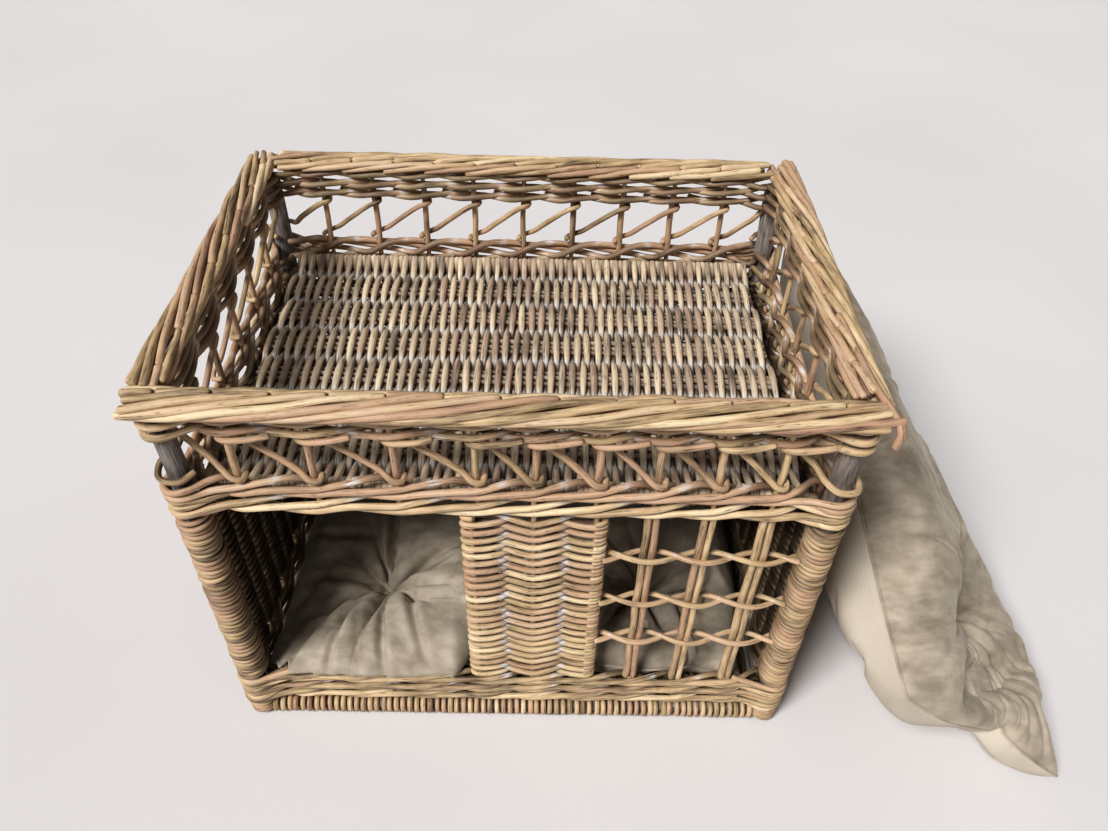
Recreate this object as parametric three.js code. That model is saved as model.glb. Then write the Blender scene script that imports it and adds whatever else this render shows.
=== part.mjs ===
// A two-level willow pet bed: a woven den below, a railed woven deck above, and two
// velvet cushions, one lying in the den and one leaning on the right side.
// Millimetres, +Z up, front towards -Y. The origin is on the underside, at the basket's centre.
import * as THREE from 'three';

// Plan
const POST_X = 331;
const POST_Y = 226;
const POST_RADIUS = 13;
const ROD = 6;
const WRAP_RADIUS = POST_RADIUS + ROD;
const RIM_OUTER_X = 358;
const RIM_OUTER_Y = 254;
const RIM_WIDTH = 38;
const GAP = 0.3;
const ARC_SEGMENTS = 8;

// Heights
const FLOOR_TOP = 28;
const SILL_BOTTOM = 30;
const SILL_TOP = 88;
const DECK_BAND_BOTTOM = 396;
const DECK_BAND_TOP = 445;
const RAIL_BAND_BOTTOM = 503;
const RAIL_BAND_TOP = 537;
const RIM_TOP = 562;
const POST_BOTTOM = 2;

// Woven walls and bands
const BAND_HALF_THICKNESS = 10;
const WALL_HALF_THICKNESS = 8;
const PANEL_LEFT = -55;
const PANEL_RIGHT = 103;

// Frame bars inside the floor and the deck
const BASE_BAR_RADIUS = 8;
const BASE_BAR_Y = 229;
const DECK_BAR_RADIUS = 7;
const DECK_BAR_Y = 205;
const DECK_BOTTOM = 402;
const DECK_TOP = 422;
const DECK_HALF_WIDTH = 311.5;
const BAR_CLEARANCE = 0.6;

// Window lattice
const STAKE_RADIUS = 3.5;
const STAKE_PAIR_X = [148, 207, 270];
const STAKE_OFFSET = 4.5;
const WEAVER_RADIUS = 3.2;
const WEAVER_SWING = 9.5;
const WEAVER_RISE = 5;
const WEAVER_END_GAP = 3;
const WEAVER_ROWS = { top: 328, middle: 249, bottom: 172 };

// Railing: bays between uprights, the front one set by hand as the maker did
const LATTICE_HALF_WIDTH = 3.5;
const FRONT_UPRIGHTS = [-272, -196, -114, -34, 24, 88, 148, 209, 270];
const BACK_BAYS = 10;
const SIDE_BAYS = 6;

// Cushions
const CUSHION_LINING = 3;
const CUSHION_EDGE = 8;
const DEN_CUSHION = { halfX: 316, halfY: 210, seamZ: 75, rise: 56, drop: 50, restZ: FLOOR_TOP + 1 };
const SIDE_CUSHION = {
  frontBottom: [698, -318, 22],
  frontTop: [396, -280, 240],
  backTop: [392, 322, 420],
  backBottom: [560, 328, 24],
  frontBow: [-30, -25, -35],
  rise: 58,
  drop: 54,
  restZ: 0.5,
};

const MATERIALS = {
  willow: new THREE.MeshStandardMaterial({ color: 0xb08f60, roughness: 0.7, metalness: 0 }),
  deckWillow: new THREE.MeshStandardMaterial({ color: 0x9a8770, roughness: 0.75, metalness: 0 }),
  post: new THREE.MeshStandardMaterial({ color: 0x7d766d, roughness: 0.8, metalness: 0 }),
  velvet: new THREE.MeshStandardMaterial({ color: 0x9d9080, roughness: 0.9, metalness: 0 }),
  canvas: new THREE.MeshStandardMaterial({ color: 0xd8ccb4, roughness: 0.9, metalness: 0 }),
  filling: new THREE.MeshStandardMaterial({ color: 0xf2f0ea, roughness: 1, metalness: 0 }),
};

// The four sides, as quarter turns of a piece built on the front, with their half spans.
const SIDES = [
  { name: 'front', turn: 0, span: POST_X, offset: POST_Y },
  { name: 'right', turn: 1, span: POST_Y, offset: POST_X },
  { name: 'back', turn: 2, span: POST_X, offset: POST_Y },
  { name: 'left', turn: 3, span: POST_Y, offset: POST_X },
];
const LONG_SIDES = SIDES.filter((side) => side.span === POST_X);

const petBed = new THREE.Group();

function addPart(name, geometry, material) {
  const mesh = new THREE.Mesh(geometry, material);
  mesh.name = name;
  petBed.add(mesh);
  return mesh;
}

function addTurned(name, geometry, material, side) {
  addPart(name, geometry, material).rotation.z = side.turn * Math.PI / 2;
}

// A plate of a plan outline, from one height to another.
function plate(shape, bottom, top) {
  return extrude(shape, top - bottom).translate(0, 0, bottom);
}

function extrude(shape, depth) {
  return new THREE.ExtrudeGeometry(shape, { depth, bevelEnabled: false, curveSegments: ARC_SEGMENTS });
}

function block(x0, x1, y0, y1, z0, z1) {
  const geometry = new THREE.BoxGeometry(x1 - x0, y1 - y0, z1 - z0);
  return geometry.translate((x0 + x1) / 2, (y0 + y1) / 2, (z0 + z1) / 2);
}

function uprightRod(x, y, z0, z1, radius, sides) {
  const geometry = new THREE.CylinderGeometry(radius, radius, z1 - z0, sides);
  return geometry.rotateX(Math.PI / 2).translate(x, y, (z0 + z1) / 2);
}

// A bar along X through y, z.
function levelBar(halfLength, y, z, radius) {
  const geometry = new THREE.CylinderGeometry(radius, radius, 2 * halfLength, 12);
  return geometry.rotateZ(Math.PI / 2).translate(0, y, z);
}

// A woven mat: rods that run front to back and turn round a bar at each end.
function wovenMat(halfWidth, barY, barRadius, bottom, top) {
  const edgeRadius = (top - bottom) / 2;
  const profile = new THREE.Shape();
  profile.absarc(barY, edgeRadius, edgeRadius, -Math.PI / 2, Math.PI / 2, false);
  profile.absarc(-barY, edgeRadius, edgeRadius, Math.PI / 2, Math.PI * 1.5, false);
  for (const y of [-barY, barY]) {
    const tunnel = new THREE.Path();
    tunnel.absarc(y, edgeRadius, barRadius + BAR_CLEARANCE, 0, Math.PI * 2, true);
    profile.holes.push(tunnel);
  }
  // The profile's own axes turn from X, Y, Z to Y, Z, X.
  const geometry = extrude(profile, 2 * halfWidth).rotateX(Math.PI / 2).rotateZ(Math.PI / 2);
  return geometry.translate(-halfWidth, 0, bottom);
}

// A band along the front or back: a straight strip that rounds each corner post.
function cornerBand(bottom, top) {
  const spread = Math.asin(BAND_HALF_THICKNESS / WRAP_RADIUS);
  const outline = new THREE.Shape();
  outline.absarc(POST_X, 0, WRAP_RADIUS, spread - Math.PI, Math.PI - spread, false);
  outline.absarc(-POST_X, 0, WRAP_RADIUS, spread, 2 * Math.PI - spread, false);
  for (const x of [-POST_X, POST_X]) {
    outline.holes.push(postHole(x));
  }
  return plate(outline, bottom + GAP, top - GAP).translate(0, -POST_Y, 0);
}

function postHole(x) {
  const hole = new THREE.Path();
  hole.absarc(x, 0, POST_RADIUS + BAR_CLEARANCE, 0, Math.PI * 2, true);
  return hole;
}

// A straight woven strip between two corner posts, built on the front.
function straightStrip(side, halfThickness, bottom, top) {
  const reach = side.span - WRAP_RADIUS - 2 * GAP;
  const [inner, outer] = [-side.offset + halfThickness, -side.offset - halfThickness];
  return block(-reach, reach, outer, inner, bottom + GAP, top - GAP);
}

function addBandRing(name, bottom, top, material) {
  for (const side of SIDES) {
    const isLong = LONG_SIDES.includes(side);
    const geometry = isLong ? cornerBand(bottom, top) : straightStrip(side, BAND_HALF_THICKNESS, bottom, top);
    addTurned(`${name}_${side.name}`, geometry, material, side);
  }
}

// The rolled border: four lengths that meet in mitres over the posts.
function borderLength(side) {
  const isLong = LONG_SIDES.includes(side);
  const [along, across] = isLong ? [RIM_OUTER_X, RIM_OUTER_Y] : [RIM_OUTER_Y, RIM_OUTER_X];
  const outline = new THREE.Shape();
  outline.moveTo(-along + GAP, -across);
  outline.lineTo(along - GAP, -across);
  outline.lineTo(along - RIM_WIDTH - GAP, -across + RIM_WIDTH);
  outline.lineTo(-along + RIM_WIDTH + GAP, -across + RIM_WIDTH);
  return plate(outline, RAIL_BAND_TOP, RIM_TOP);
}

// A ribbon of constant width that follows points, cut square outside each turn.
function ribbon(points, halfWidth) {
  const left = [];
  const right = [];
  const directions = points.slice(1).map((point, i) => point.clone().sub(points[i]).normalize());
  const normals = directions.map((direction) => new THREE.Vector2(-direction.y, direction.x));
  points.forEach((point, i) => {
    const before = normals[Math.max(i - 1, 0)];
    const after = normals[Math.min(i, normals.length - 1)];
    const middle = before.clone().add(after).normalize();
    const inner = middle.clone().multiplyScalar(halfWidth / middle.dot(before));
    const isLeftTurn = before.cross(after) > 0;
    const [innerSide, outerSide, sign] = isLeftTurn ? [left, right, 1] : [right, left, -1];
    innerSide.push(point.clone().addScaledVector(inner, sign));
    outerSide.push(point.clone().addScaledVector(before, -sign * halfWidth));
    outerSide.push(point.clone().addScaledVector(after, -sign * halfWidth));
  });
  return new THREE.Shape([...left, ...right.reverse()]);
}

function evenUprights(bays, span) {
  const pitch = 2 * span / bays;
  return Array.from({ length: bays - 1 }, (_, i) => -span + pitch * (i + 1));
}

// One side of the railing: uprights, each joined by a falling diagonal to the one before it.
function railLattice(side, uprights) {
  const end = side.span - POST_RADIUS - LATTICE_HALF_WIDTH - GAP;
  const low = DECK_BAND_TOP + LATTICE_HALF_WIDTH;
  const high = RAIL_BAND_BOTTOM - LATTICE_HALF_WIDTH;
  const points = [new THREE.Vector2(-end, high)];
  for (const x of uprights) {
    points.push(new THREE.Vector2(x, low), new THREE.Vector2(x, high));
  }
  points.push(new THREE.Vector2(end, low));
  const geometry = extrude(ribbon(points, LATTICE_HALF_WIDTH), 2 * LATTICE_HALF_WIDTH);
  return geometry.rotateX(Math.PI / 2).translate(0, -side.offset + LATTICE_HALF_WIDTH, 0);
}

// One of a pair of weavers that twist half a turn from each pair of stakes to the next.
function windowWeaver(height, phase) {
  const [first, , last] = STAKE_PAIR_X;
  const start = PANEL_RIGHT + WEAVER_END_GAP;
  const finish = POST_X - WRAP_RADIUS - WEAVER_END_GAP;
  const points = [];
  const count = 21;
  for (let i = 0; i < count; i += 1) {
    const x = start + (finish - start) * i / (count - 1);
    const angle = phase + 2 * Math.PI * (x - first) / (last - first);
    const y = -POST_Y - WEAVER_SWING * Math.cos(angle);
    points.push(new THREE.Vector3(x, y, height - WEAVER_RISE * Math.sin(angle)));
  }
  const section = new THREE.Shape();
  section.absarc(0, 0, WEAVER_RADIUS, 0, Math.PI * 2, false);
  const extrudePath = new THREE.CatmullRomCurve3(points);
  return new THREE.ExtrudeGeometry(section, { steps: count + 3, extrudePath, curveSegments: 3 });
}

// Grid lines of a cushion, closer together near its edges.
const CUSHION_LINES_LONG = [-1, -0.93, -0.66, -0.22, 0.22, 0.66, 0.93, 1];
const CUSHION_LINES_SHORT = [-1, -0.9, -0.5, 0, 0.5, 0.9, 1];

// How full the cushion is at a place on it, from 0 at its edge to 1 at its middle:
// a crowned top, and a boxier underside.
function topFullness(a, b) {
  return ((1 - a ** 4) * (1 - b ** 4)) ** 0.5;
}

function undersideFullness(a, b) {
  return ((1 - a ** 8) * (1 - b ** 6)) ** 0.4;
}

// A closed skin between an upper and a lower offset from the seam surface.
function quilt(seamPoint, linesA, linesB, lower, upper) {
  const positions = [];
  const index = [];
  const columns = linesB.length;
  const layer = linesA.length * columns;
  for (const height of [lower, upper]) {
    for (const a of linesA) {
      for (const b of linesB) {
        const { point, normal } = seamPoint(a, b);
        positions.push(...point.clone().addScaledVector(normal, height(a, b)).toArray());
      }
    }
  }
  for (let i = 0; i < linesA.length - 1; i += 1) {
    for (let j = 0; j < columns - 1; j += 1) {
      const p = i * columns + j;
      index.push(p, p + 1, p + columns, p + 1, p + columns + 1, p + columns);
      index.push(layer + p, layer + p + columns, layer + p + 1);
      index.push(layer + p + 1, layer + p + columns, layer + p + columns + 1);
    }
  }
  const edge = edgeLoop(linesA.length, columns);
  edge.forEach((p, i) => {
    const q = edge[(i + 1) % edge.length];
    index.push(p, q, layer + q, p, layer + q, layer + p);
  });
  const geometry = new THREE.BufferGeometry();
  geometry.setAttribute('position', new THREE.Float32BufferAttribute(positions, 3));
  geometry.setIndex(index);
  geometry.computeVertexNormals();
  return geometry;
}

// Indices round the grid, counter-clockwise seen from the upper side.
function edgeLoop(rows, columns) {
  const loop = [];
  for (let i = 0; i < rows - 1; i += 1) loop.push(i * columns);
  for (let j = 0; j < columns - 1; j += 1) loop.push((rows - 1) * columns + j);
  for (let i = rows - 1; i > 0; i -= 1) loop.push(i * columns + columns - 1);
  for (let j = columns - 1; j > 0; j -= 1) loop.push(j);
  return loop;
}

// A cushion: a velvet top and a canvas underside that meet at the seam, and the filling.
// The underside is flat where it would reach below the height that the cushion rests on.
function addCushion(name, seamPoint, { rise, drop, restZ }) {
  const isRim = (a, b) => Math.abs(a) === 1 || Math.abs(b) === 1;
  const top = (a, b) => CUSHION_EDGE + (rise - CUSHION_EDGE) * topFullness(a, b);
  const bottom = (a, b) => {
    const { point, normal } = seamPoint(a, b);
    const room = (point.z - restZ) / normal.z;
    return -Math.min(CUSHION_EDGE + (drop - CUSHION_EDGE) * undersideFullness(a, b), room);
  };
  const seam = GAP / 2;
  const velvetInside = (a, b) => (isRim(a, b) ? seam : top(a, b) - CUSHION_LINING);
  const canvasInside = (a, b) => (isRim(a, b) ? -seam : bottom(a, b) + CUSHION_LINING);
  const fillingTop = (a, b) => top(a, b) - CUSHION_LINING - GAP;
  const fillingBottom = (a, b) => bottom(a, b) + CUSHION_LINING + GAP;
  const [long, short] = [CUSHION_LINES_LONG, CUSHION_LINES_SHORT];
  const [innerLong, innerShort] = [long.slice(1, -1), short.slice(1, -1)];
  addPart(`${name}_velvet`, quilt(seamPoint, long, short, velvetInside, top), MATERIALS.velvet);
  addPart(`${name}_canvas`, quilt(seamPoint, long, short, bottom, canvasInside), MATERIALS.canvas);
  const filling = quilt(seamPoint, innerLong, innerShort, fillingBottom, fillingTop);
  addPart(`${name}_filling`, filling, MATERIALS.filling);
}

// The seam of the cushion in the den lies level, its sides drawn in between the corners.
function denSeam(a, b) {
  const { halfX, halfY, seamZ } = DEN_CUSHION;
  const pullIn = 0.02;
  const x = halfX * a * (1 - pullIn * (1 - b * b));
  const y = halfY * b * (1 - pullIn * (1 - a * a));
  return { point: new THREE.Vector3(x, y, seamZ), normal: new THREE.Vector3(0, 0, 1) };
}

// The seam of the leaning cushion is a twisted sheet through its four corners, bowed out
// at its front end. a runs from the front to the back, b up the slope from the floor.
function sideSeamPoint(a, b) {
  const [s, t] = [(a + 1) / 2, (b + 1) / 2];
  const corner = (name) => new THREE.Vector3(...SIDE_CUSHION[name]);
  const front = corner('frontBottom').lerp(corner('frontTop'), t);
  const back = corner('backBottom').lerp(corner('backTop'), t);
  return front.lerp(back, s).addScaledVector(corner('frontBow'), (1 - s) ** 2 * 4 * t * (1 - t));
}

function sideSeam(a, b) {
  const step = 0.01;
  const along = sideSeamPoint(a + step, b).sub(sideSeamPoint(a - step, b));
  const upSlope = sideSeamPoint(a, b + step).sub(sideSeamPoint(a, b - step));
  return { point: sideSeamPoint(a, b), normal: along.cross(upSlope).normalize() };
}

function addFrame() {
  const deckMiddle = (DECK_BOTTOM + DECK_TOP) / 2;
  for (const [side, signY] of [['front', -1], ['back', 1]]) {
    for (const [end, signX] of [['left', -1], ['right', 1]]) {
      addPost(`${side}_${end}`, signX * POST_X, signY * POST_Y);
    }
    const baseBar = levelBar(POST_X - POST_RADIUS - 1, signY * BASE_BAR_Y, FLOOR_TOP / 2, BASE_BAR_RADIUS);
    addPart(`base_bar_${side}`, baseBar, MATERIALS.post);
    const deckBar = levelBar(DECK_HALF_WIDTH, signY * DECK_BAR_Y, deckMiddle, DECK_BAR_RADIUS);
    addPart(`deck_bar_${side}`, deckBar, MATERIALS.post);
  }
  for (const side of SIDES.filter((each) => !LONG_SIDES.includes(each))) {
    const bar = levelBar(POST_Y - POST_RADIUS - 1, -POST_X, FLOOR_TOP / 2, BASE_BAR_RADIUS);
    addTurned(`base_bar_${side.name}`, bar, MATERIALS.post, side);
  }
}

// A corner post, and the weavers that wrap it between the sill and the deck.
function addPost(corner, x, y) {
  const post = uprightRod(x, y, POST_BOTTOM, RAIL_BAND_TOP - GAP, POST_RADIUS, 16);
  addPart(`post_${corner}`, post, MATERIALS.post);
  const ring = new THREE.Shape();
  ring.absarc(0, 0, WRAP_RADIUS, 0, Math.PI * 2, false);
  ring.holes.push(postHole(0));
  const wrap = plate(ring, SILL_TOP + GAP, DECK_BAND_BOTTOM - GAP).translate(x, y, 0);
  addPart(`post_wrap_${corner}`, wrap, MATERIALS.willow);
}

function addWovenPanels() {
  const floorHalfWidth = POST_X - POST_RADIUS - 1;
  const floor = wovenMat(floorHalfWidth, BASE_BAR_Y, BASE_BAR_RADIUS, 0, FLOOR_TOP);
  addPart('floor_weave', floor, MATERIALS.willow);
  const deck = wovenMat(DECK_HALF_WIDTH, DECK_BAR_Y, DECK_BAR_RADIUS, DECK_BOTTOM, DECK_TOP);
  addPart('deck_weave', deck, MATERIALS.deckWillow);
  for (const side of SIDES.filter((each) => each.name !== 'front')) {
    const wall = straightStrip(side, WALL_HALF_THICKNESS, SILL_TOP, DECK_BAND_BOTTOM);
    addTurned(`wall_${side.name}`, wall, MATERIALS.willow, side);
  }
  const [panelOuter, panelInner] = [-POST_Y - WALL_HALF_THICKNESS, -POST_Y + WALL_HALF_THICKNESS];
  const [panelBottom, panelTop] = [SILL_TOP + GAP, DECK_BAND_BOTTOM - GAP];
  const panel = block(PANEL_LEFT, PANEL_RIGHT, panelOuter, panelInner, panelBottom, panelTop);
  addPart('front_panel', panel, MATERIALS.willow);
}

function addBandsAndBorder() {
  addBandRing('sill_band', SILL_BOTTOM, SILL_TOP, MATERIALS.willow);
  addBandRing('deck_band', DECK_BAND_BOTTOM, DECK_BAND_TOP, MATERIALS.willow);
  addBandRing('rail_band', RAIL_BAND_BOTTOM, RAIL_BAND_TOP, MATERIALS.willow);
  for (const side of SIDES) {
    addTurned(`rim_border_${side.name}`, borderLength(side), MATERIALS.willow, side);
  }
}

function addRailing() {
  const uprights = {
    front: FRONT_UPRIGHTS,
    back: evenUprights(BACK_BAYS, POST_X),
    left: evenUprights(SIDE_BAYS, POST_Y),
    right: evenUprights(SIDE_BAYS, POST_Y),
  };
  for (const side of SIDES) {
    addTurned(`rail_lattice_${side.name}`, railLattice(side, uprights[side.name]), MATERIALS.willow, side);
  }
}

function addWindow() {
  STAKE_PAIR_X.forEach((pairX, i) => {
    for (const [letter, sign] of [['a', -1], ['b', 1]]) {
      const x = pairX + sign * STAKE_OFFSET;
      const stake = uprightRod(x, -POST_Y, SILL_TOP + GAP, DECK_BAND_BOTTOM - GAP, STAKE_RADIUS, 8);
      addPart(`window_stake_${i + 1}${letter}`, stake, MATERIALS.willow);
    }
  });
  for (const [row, height] of Object.entries(WEAVER_ROWS)) {
    addPart(`window_weaver_${row}_a`, windowWeaver(height, 0), MATERIALS.willow);
    addPart(`window_weaver_${row}_b`, windowWeaver(height, Math.PI), MATERIALS.willow);
  }
}

addFrame();
addWovenPanels();
addBandsAndBorder();
addRailing();
addWindow();
addCushion('den_cushion', denSeam, DEN_CUSHION);
addCushion('side_cushion', sideSeam, SIDE_CUSHION);

export default petBed;
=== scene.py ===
"""The looks of a two-level willow pet basket with woven walls, a rolled border, a lattice and two cushions.

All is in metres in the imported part's frame: +Z up, -Y towards the doorway, +X towards the leaning cushion.
"""

import math

import bpy
import numpy as np
from mathutils import Matrix, Vector


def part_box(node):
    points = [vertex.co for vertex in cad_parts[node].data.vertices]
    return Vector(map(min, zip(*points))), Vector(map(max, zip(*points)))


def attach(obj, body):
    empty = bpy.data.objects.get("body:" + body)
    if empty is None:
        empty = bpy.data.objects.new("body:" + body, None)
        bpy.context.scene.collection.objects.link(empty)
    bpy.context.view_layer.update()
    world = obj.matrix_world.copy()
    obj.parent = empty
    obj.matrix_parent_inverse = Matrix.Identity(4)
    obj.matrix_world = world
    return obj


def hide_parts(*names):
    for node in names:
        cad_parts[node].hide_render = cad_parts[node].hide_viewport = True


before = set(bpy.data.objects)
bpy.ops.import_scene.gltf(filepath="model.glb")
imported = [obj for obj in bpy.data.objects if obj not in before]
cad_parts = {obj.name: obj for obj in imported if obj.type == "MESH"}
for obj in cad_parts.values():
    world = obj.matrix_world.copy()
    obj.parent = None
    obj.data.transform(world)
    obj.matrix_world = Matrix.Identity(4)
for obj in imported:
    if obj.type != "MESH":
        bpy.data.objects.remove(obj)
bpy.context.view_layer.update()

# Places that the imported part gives.
post_low, post_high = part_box("post_front_right")
POST_X = (post_low.x + post_high.x) / 2
POST_Y = -(post_low.y + post_high.y) / 2
POST_RADIUS = (post_high.x - post_low.x) / 2


def levels(node):
    """The lowest and highest level of a CAD node."""
    low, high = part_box(node)
    return low.z, high.z


SILL_BAND = levels("sill_band_front")
DECK_BAND = levels("deck_band_front")
RAIL_BAND = levels("rail_band_front")
RIM = levels("rim_border_front")

# The weaving's own dimensions.
STAKE_RADIUS = 0.0031
STRAND_RADIUS = 0.0035
FRONT_UPRIGHTS = [-0.272, -0.196, -0.114, -0.034, 0.024, 0.088, 0.148, 0.209, 0.270]
BACK_BAYS = 10
END_BAYS = 6
MAT_GROUPS = 6
RING_SIDES = 8


# ---------------------------------------------------------------- shaders


def srgb(red, green, blue):
    """A colour on the 0 to 255 screen scale as the linear light that a shader takes."""
    c = np.array([red, green, blue]) / 255
    return (*np.where(c <= 0.04045, c / 12.92, ((c + 0.055) / 1.055) ** 2.4), 1.0)


class Shader:
    """A node material under construction."""

    def __init__(self, name):
        self.material = bpy.data.materials.new(name)
        self.material.use_nodes = True
        self.tree = self.material.node_tree
        self.surface = self.tree.nodes["Principled BSDF"]

    def wire(self, node, inputs):
        """Links each input that is given a socket, and sets the others to a value."""
        for key, value in inputs.items():
            if isinstance(value, bpy.types.NodeSocket):
                self.tree.links.new(value, node.inputs[key])
            else:
                node.inputs[key].default_value = value

    def add(self, kind, inputs, **settings):
        node = self.tree.nodes.new("ShaderNode" + kind)
        for key, value in settings.items():
            setattr(node, key, value)
        self.wire(node, inputs)
        return node

    def attribute(self, name):
        return self.add("Attribute", {}, attribute_name=name)

    def scaled(self, vector, x, y, z):
        return self.add("Mapping", {"Vector": vector, "Scale": (x, y, z)}).outputs[0]

    def noise(self, vector, scale, detail=2.0, roughness=0.5):
        values = {"Vector": vector, "Scale": scale, "Detail": detail, "Roughness": roughness}
        return self.add("TexNoise", values).outputs["Fac"]

    def math(self, operation, a, b):
        return self.add("Math", {0: a, 1: b}, operation=operation).outputs[0]

    def sum(self, a, b):
        return self.math("ADD", a, b)

    def times(self, a, b):
        return self.math("MULTIPLY", a, b)

    def span(self, value, low, high, to_low=0.0, to_high=1.0):
        """value stretched so that low to high becomes to_low to to_high, and held within them."""
        inputs = {"Value": value, "From Min": low, "From Max": high, "To Min": to_low, "To Max": to_high}
        return self.add("MapRange", inputs, interpolation_type="SMOOTHSTEP").outputs[0]

    def blend(self, factor, a, b, kind="MIX"):
        inputs = {0: factor, 6: a, 7: b}
        return self.add("Mix", inputs, data_type="RGBA", blend_type=kind).outputs[2]

    def grey(self, value):
        return self.add("CombineColor", {"Red": value, "Green": value, "Blue": value}).outputs[0]

    def ramp(self, factor, stops):
        """A colour ramp. A stop is its place, and its red, green and blue as srgb() takes them."""
        node = self.add("ValToRGB", {"Fac": factor})
        elements = node.color_ramp.elements
        while len(elements) < len(stops):
            elements.new(0.5)
        for element, (place, *colour) in zip(elements, stops):
            element.position = place
            element.color = srgb(*colour)
        return node.outputs[0]

    def bump(self, height, strength, distance):
        inputs = {"Height": height, "Strength": strength, "Distance": distance}
        return self.add("Bump", inputs).outputs[0]


def rod_material(name, stops, blush, wash, wash_start, roughness):
    """Round rods: each has its own tone, with patches and streaks along it, and whitewash in the crossings.

    Some rods tend towards the blush colour."""
    s = Shader(name)
    rod = s.attribute("rod")
    tone = s.add("SeparateColor", {"Color": rod.outputs["Color"]})
    grain = s.attribute("grain").outputs["Vector"]
    patch = s.noise(s.scaled(grain, 60, 60, 22), 1.0, 2.0)
    streak = s.noise(s.scaled(grain, 620, 620, 34), 1.0, 3.0, 0.6)
    fleck = s.noise(s.scaled(grain, 420, 420, 150), 1.0, 2.0)
    shift = s.sum(s.span(patch, 0.25, 0.75, -0.22, 0.22), s.span(streak, 0.25, 0.75, -0.2, 0.2))
    colour = s.ramp(s.sum(tone.outputs["Red"], shift), stops)
    chance = s.math("FRACT", s.times(tone.outputs["Red"], 37.0), 0.0)
    colour = s.blend(s.span(s.sum(chance, patch), 0.85, 1.5, 0.0, 0.6), colour, srgb(*blush))
    dark = s.span(s.sum(streak, s.times(fleck, 0.5)), 0.5, 0.7, 0.45, 1.0)
    colour = s.blend(1.0, colour, s.grey(dark), "MULTIPLY")
    lines = s.sum(s.times(streak, 0.95), s.times(fleck, 0.3))
    chalk = s.sum(tone.outputs["Blue"], lines)
    colour = s.blend(s.span(chalk, wash_start, wash_start + 0.3, 0.0, 0.9), colour, srgb(*wash))
    # Painted shade: the colour is multiplied by the rod's second channel, which darkens rods behind stakes,
    # on inner faces and on their undersides.
    colour = s.blend(1.0, colour, s.grey(tone.outputs["Green"]), "MULTIPLY")
    s.wire(
        s.surface,
        {
            "Base Color": colour,
            "Roughness": s.span(streak, 0.3, 0.7, roughness - 0.1, roughness + 0.12),
            "Specular IOR Level": 0.42,
            "Normal": s.bump(streak, 0.5, 0.0009),
        },
    )
    return s.material


WILLOW = rod_material(
    "peeled willow",
    [(0.0, 94, 78, 60), (0.2, 140, 118, 92), (0.4, 176, 152, 116)]
    + [(0.6, 200, 172, 134), (0.8, 216, 190, 150), (1.0, 228, 208, 172)],
    blush=(184, 144, 122),
    wash=(222, 217, 216),
    wash_start=1.06,
    roughness=0.5,
)
DECK_WILLOW = rod_material(
    "washed deck willow",
    [(0.0, 92, 80, 68), (0.3, 156, 140, 122), (0.55, 196, 177, 153)]
    + [(0.8, 216, 195, 166), (1.0, 228, 209, 180)],
    blush=(172, 142, 124),
    wash=(222, 222, 220),
    wash_start=0.98,
    roughness=0.62,
)
POST_WOOD = rod_material(
    "weathered post",
    [(0.0, 54, 48, 44), (0.35, 112, 104, 98), (0.7, 160, 152, 146), (1.0, 196, 190, 184)],
    blush=(120, 104, 92),
    wash=(206, 202, 200),
    wash_start=0.86,
    roughness=0.72,
)


def velvet_material():
    """Short-pile velvet: soft brushed patches, a sheen at grazing angles and a fine pile."""
    s = Shader("taupe velvet")
    place = s.add("TexCoord", {}).outputs["Object"]
    warp = s.add("TexNoise", {"Vector": place, "Scale": 6.0, "Detail": 1.0}).outputs["Color"]
    bent = s.blend(0.06, place, warp)
    brushed = s.noise(s.scaled(bent, 24, 24, 24), 1.0, 4.0, 0.6)
    strokes = s.noise(s.scaled(bent, 40, 95, 60), 1.0, 2.0)
    pile = s.noise(place, 1900.0, 1.0)
    nap = s.sum(s.times(brushed, 0.68), s.times(strokes, 0.32))
    stops = [(0.3, 132, 121, 106), (0.45, 158, 146, 130), (0.58, 178, 166, 149), (0.72, 196, 185, 169)]
    colour = s.ramp(s.sum(nap, s.span(pile, 0.3, 0.7, -0.035, 0.035)), stops)
    s.wire(
        s.surface,
        {
            "Base Color": colour,
            "Roughness": s.span(nap, 0.35, 0.65, 0.95, 0.8),
            "Specular IOR Level": 0.18,
            "Sheen Weight": 0.42,
            "Sheen Roughness": 0.42,
            "Sheen Tint": srgb(226, 216, 198),
            "Normal": s.bump(s.sum(pile, s.times(strokes, 0.8)), 0.25, 0.0008),
        },
    )
    return s.material


def canvas_material():
    """Plain-weave cotton: threads crossing at about a millimetre, slubs and a little soiling."""
    s = Shader("cream canvas")
    place = s.add("TexCoord", {}).outputs["Object"]
    cloth = s.attribute("cloth").outputs["Vector"]
    threads = []
    for direction in ("X", "Y"):
        inputs = {"Vector": cloth, "Scale": 260.0, "Distortion": 1.2, "Detail": 2.0, "Detail Scale": 0.4}
        wave = s.add("TexWave", inputs, bands_direction=direction)
        threads.append(wave.outputs["Fac"])
    weave = s.math("MAXIMUM", threads[0], threads[1])
    slub = s.noise(s.scaled(cloth, 90, 700, 90), 1.0, 2.0)
    soil = s.noise(place, 9.0, 3.0)
    threads_tone = s.sum(s.times(weave, 0.15), s.times(slub, 0.08))
    tone = s.sum(threads_tone, soil)
    stops = [(0.0, 184, 173, 158), (0.5, 198, 187, 171), (1.0, 209, 199, 184)]
    colour = s.ramp(s.span(tone, 0.4, 1.1), stops)
    s.wire(
        s.surface,
        {
            "Base Color": colour,
            "Roughness": s.span(weave, 0.2, 0.8, 0.95, 0.82),
            "Specular IOR Level": 0.2,
            "Normal": s.bump(weave, 0.1, 0.0003),
        },
    )
    return s.material


VELVET = velvet_material()
CANVAS = canvas_material()


# ---------------------------------------------------------------- rods


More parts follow.
